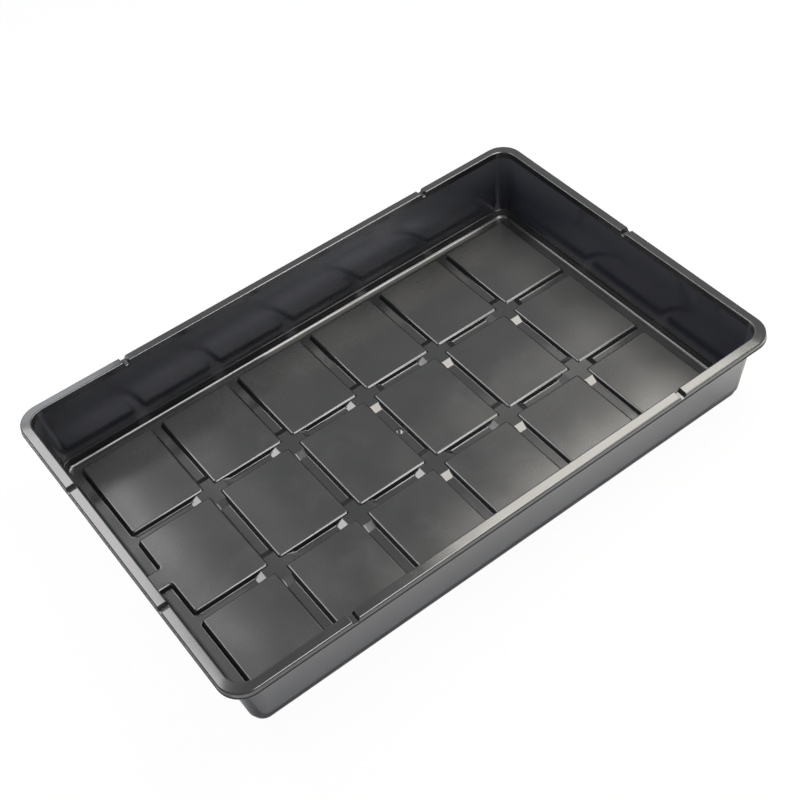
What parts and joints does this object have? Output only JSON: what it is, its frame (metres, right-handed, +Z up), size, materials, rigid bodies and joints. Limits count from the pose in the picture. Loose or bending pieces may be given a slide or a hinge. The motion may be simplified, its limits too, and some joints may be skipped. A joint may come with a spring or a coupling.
{
  "type": "seed tray",
  "caption": "Shallow rectangular seed tray in dark plastic, with raised floor pads between drainage channels, leaning walls and a notched, turned-down rim.",
  "frame": {"origin": "on the surface that the tray stands on, under the middle of the tray", "axes": "+X along the tray's length, away from the end with the floor bridge; +Y across the tray; +Z up"},
  "size_m": [0.5798, 0.3788, 0.0789],
  "materials": {
    "dark_plastic": "semi-gloss, moulded in the colour"
  },
  "bodies": {
    "root": {"seed_tray": "dark_plastic"}
  },
  "joints": []
}
